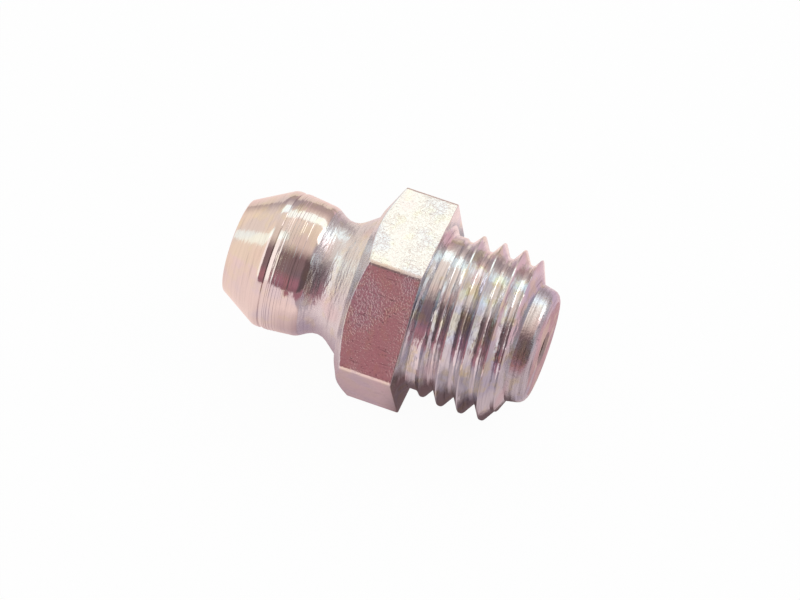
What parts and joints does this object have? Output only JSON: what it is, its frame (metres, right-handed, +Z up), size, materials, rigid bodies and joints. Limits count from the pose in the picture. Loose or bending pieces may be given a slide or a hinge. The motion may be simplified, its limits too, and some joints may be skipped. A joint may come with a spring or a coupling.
{
  "type": "grease nipple",
  "caption": "Straight grease nipple: conical coupler head, spanner hexagon, fine-threaded shank and a spring-loaded check ball behind the inlet.",
  "frame": {"origin": "centre of the seat face on the nipple's axis, where the shank leaves the hexagon", "axes": "+X along the axis towards the shank's end, +Z up out of the hexagon's upper flat; it lies on the flat that faces -Z"},
  "size_m": [0.0148, 0.0104, 0.009],
  "materials": {
    "zinc_plated_steel": "bright zinc plated, turned",
    "polished_steel": "polished",
    "spring_steel": "drawn wire"
  },
  "bodies": {
    "nipple": {"nipple_body": "zinc_plated_steel", "ball_spring": "spring_steel"},
    "ball": {"check_ball": "polished_steel"}
  },
  "joints": [
    {"name": "ball_lift", "type": "slide", "parent": "nipple", "child": "ball", "axis": [1, 0, 0], "range_m": [0, 0.008], "stiffness_N_per_m": 150, "springref_m": -0.002, "deforming": ["ball_spring"]}
  ]
}
